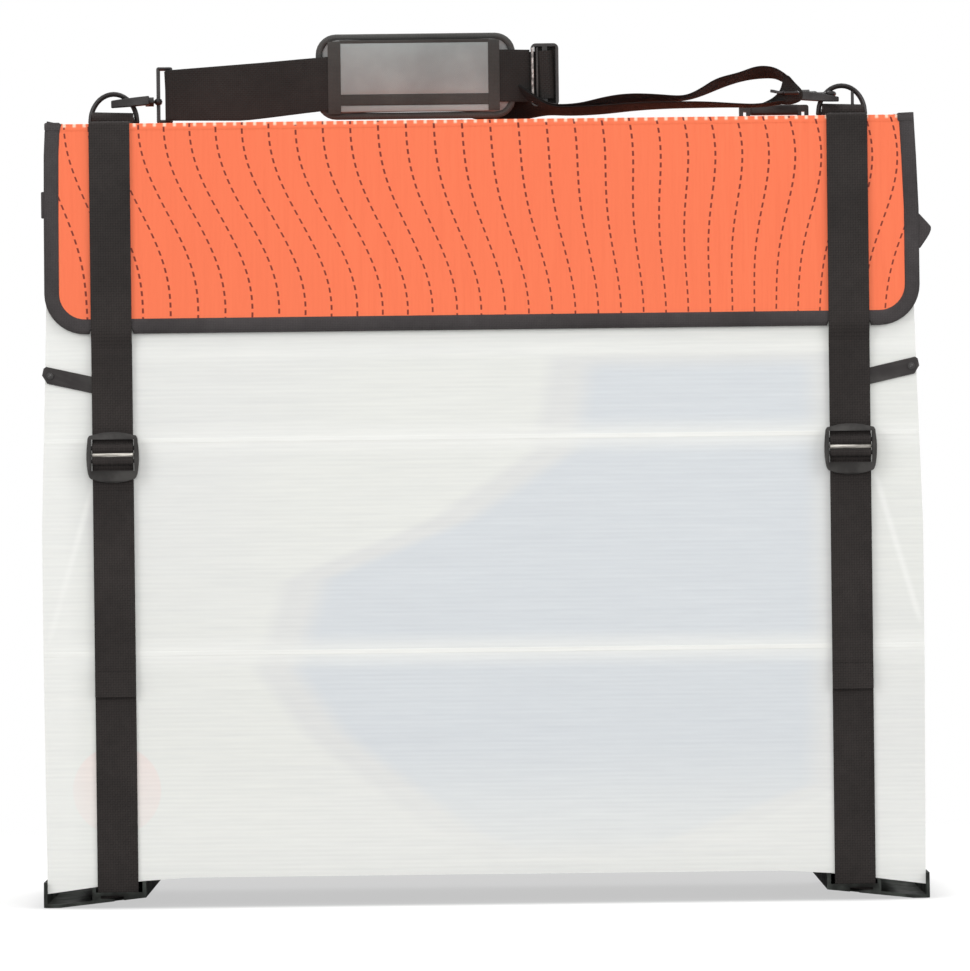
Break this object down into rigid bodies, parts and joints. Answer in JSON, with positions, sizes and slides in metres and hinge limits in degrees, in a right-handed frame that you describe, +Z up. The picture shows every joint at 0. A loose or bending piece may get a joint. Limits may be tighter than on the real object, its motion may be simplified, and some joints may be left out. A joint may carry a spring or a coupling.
{
  "type": "folding kayak packed in its box",
  "caption": "Folding kayak folded flat into its carrying box, with a flap lid, buckled webbing straps, corner shoes and a padded shoulder strap on swivel hooks.",
  "frame": {"origin": "on the floor, under the middle of the packed box's outline", "axes": "+X along the box to the right as its front is seen, +Y from the front to the back, +Z up"},
  "size_m": [0.854, 0.3168, 0.8385],
  "materials": {
    "sheet": "translucent white twin-wall sheet with a satin skin and fine horizontal flutes",
    "folded_sheet": "the same twin-wall sheet, folded behind the outer skin",
    "board": "orange corrugated board, satin, with a printed pattern of short dark dashes",
    "binding": "black woven edge tape, sewn on",
    "webbing": "black ribbed webbing",
    "moulded": "black moulded plastic, lightly grained",
    "hardware": "dark nickel on cast and bent metal, smooth and glossy",
    "pad": "grey fabric face with a black bound rim",
    "gear_sheet": "dark grey sheet",
    "gear_fabric": "dark grey seat fabric over foam"
  },
  "bodies": {
    "box": {"hull_front_lower": "sheet", "hull_front_middle": "sheet", "hull_front_upper": "sheet", "hull_back_lower": "sheet", "hull_back_middle": "sheet", "hull_back_upper": "sheet", "hull_bottom": "sheet", "gusset_left_front": "sheet", "gusset_left_back": "sheet", "gusset_right_front": "sheet", "gusset_right_back": "sheet", "bow_panel": "folded_sheet", "stern_panel": "folded_sheet", "shoe_left": "moulded", "shoe_right": "moulded", "strap_front_lower_left": "webbing", "strap_front_lower_right": "webbing", "strap_under_left": "webbing", "strap_under_right": "webbing", "strap_rear_left": "webbing", "strap_rear_right": "webbing", "bow_bulkhead": "gear_sheet", "stern_bulkhead": "gear_sheet", "foot_brace": "gear_sheet", "seat_base": "gear_fabric", "seat_back": "gear_fabric", "lid_back_flap": "board", "binding_back": "binding"},
    "keeper_left": {"keeper_tab_left": "moulded"},
    "keeper_right": {"keeper_tab_right": "moulded"},
    "lid_top": {"lid_top_panel": "board", "binding_top_left": "binding", "binding_top_right": "binding", "strap_top_left": "webbing", "strap_top_right": "webbing", "lid_handle": "moulded"},
    "lid_front": {"lid_front_flap": "board", "binding_front": "binding", "strap_flap_left": "webbing", "strap_flap_right": "webbing", "pull_loop_right": "webbing"},
    "hanging_left": {"strap_hanging_left": "webbing"},
    "hanging_right": {"strap_hanging_right": "webbing"},
    "lock_left": {"ladder_lock_left": "moulded", "strap_tail_left": "webbing"},
    "lock_right": {"ladder_lock_right": "moulded", "strap_tail_right": "webbing"},
    "ring_left": {"d_ring_left": "hardware", "snap_hook_left": "hardware"},
    "ring_right": {"d_ring_right": "hardware", "snap_hook_right": "hardware"},
    "gate_left": {"hook_gate_left": "hardware"},
    "gate_right": {"hook_gate_right": "hardware"},
    "shoulder_strap": {"webbing_eye_left": "hardware", "webbing_eye_right": "hardware", "shoulder_webbing": "webbing", "slider": "hardware", "strand_upper": "webbing", "strand_lower": "webbing"},
    "pad": {"shoulder_pad": "pad"}
  },
  "joints": [
    {"name": "keeper_left_turn", "type": "hinge", "parent": "box", "child": "keeper_left", "pos_m": [-0.41503, -0.1472, 0.5093], "axis": [0, 1, 0], "range_deg": [-6, 6]},
    {"name": "keeper_right_turn", "type": "hinge", "parent": "box", "child": "keeper_right", "pos_m": [0.40997, -0.1472, 0.5093], "axis": [0, 1, 0], "range_deg": [-6, 6]},
    {"name": "lid_open", "type": "hinge", "parent": "box", "child": "lid_top", "pos_m": [-0.00253, 0.1553, 0.75], "axis": [-1, 0, 0], "range_deg": [0, 110]},
    {"name": "flap_open", "type": "hinge", "parent": "lid_top", "child": "lid_front", "pos_m": [-0.00253, -0.1517, 0.75], "axis": [-1, 0, 0], "range_deg": [0, 90]},
    {"name": "strap_left_hang", "type": "hinge", "parent": "lid_front", "child": "hanging_left", "pos_m": [-0.35553, -0.1528, 0.55235], "axis": [-1, 0, 0], "range_deg": [-80, 0]},
    {"name": "strap_right_hang", "type": "hinge", "parent": "lid_front", "child": "hanging_right", "pos_m": [0.35047, -0.1528, 0.55235], "axis": [-1, 0, 0], "range_deg": [-80, 0]},
    {"name": "lock_left_tilt", "type": "hinge", "parent": "hanging_left", "child": "lock_left", "pos_m": [-0.35553, -0.1537, 0.4395], "axis": [-1, 0, 0], "range_deg": [0, 12]},
    {"name": "lock_right_tilt", "type": "hinge", "parent": "hanging_right", "child": "lock_right", "pos_m": [0.35047, -0.1537, 0.4395], "axis": [-1, 0, 0], "range_deg": [0, 12]},
    {"name": "ring_left_tilt", "type": "hinge", "parent": "lid_top", "child": "ring_left", "pos_m": [-0.35553, -0.0582, 0.7562], "axis": [1, 0, 0], "range_deg": [-5, 5]},
    {"name": "ring_right_tilt", "type": "hinge", "parent": "lid_top", "child": "ring_right", "pos_m": [0.35047, -0.0582, 0.7562], "axis": [1, 0, 0], "range_deg": [-5, 5]},
    {"name": "gate_left_open", "type": "hinge", "parent": "ring_left", "child": "gate_left", "pos_m": [-0.33052, -0.06165, 0.7755], "axis": [0, 0, -1], "range_deg": [0, 14], "stiffness_Nm_per_rad": 0.02, "springref_deg": -11.46},
    {"name": "gate_right_open", "type": "hinge", "parent": "ring_right", "child": "gate_right", "pos_m": [0.32545, -0.06165, 0.7755], "axis": [0, 0, 1], "range_deg": [0, 14], "stiffness_Nm_per_rad": 0.02, "springref_deg": -11.46},
    {"name": "strap_swing", "type": "hinge", "parent": "ring_left", "child": "shoulder_strap", "pos_m": [-0.00253, -0.0582, 0.7755], "axis": [1, 0, 0], "range_deg": [-6, 6]},
    {"name": "pad_slide", "type": "slide", "parent": "shoulder_strap", "child": "pad", "axis": [0.9991, 0, 0.0424], "range_m": [-0.016, 0]}
  ],
  "couplings": [
    {"joint": "strap_left_hang", "follows": "flap_open", "ratio": -0.88},
    {"joint": "strap_right_hang", "follows": "flap_open", "ratio": -0.88},
    {"joint": "ring_right_tilt", "follows": "ring_left_tilt", "ratio": 1}
  ]
}
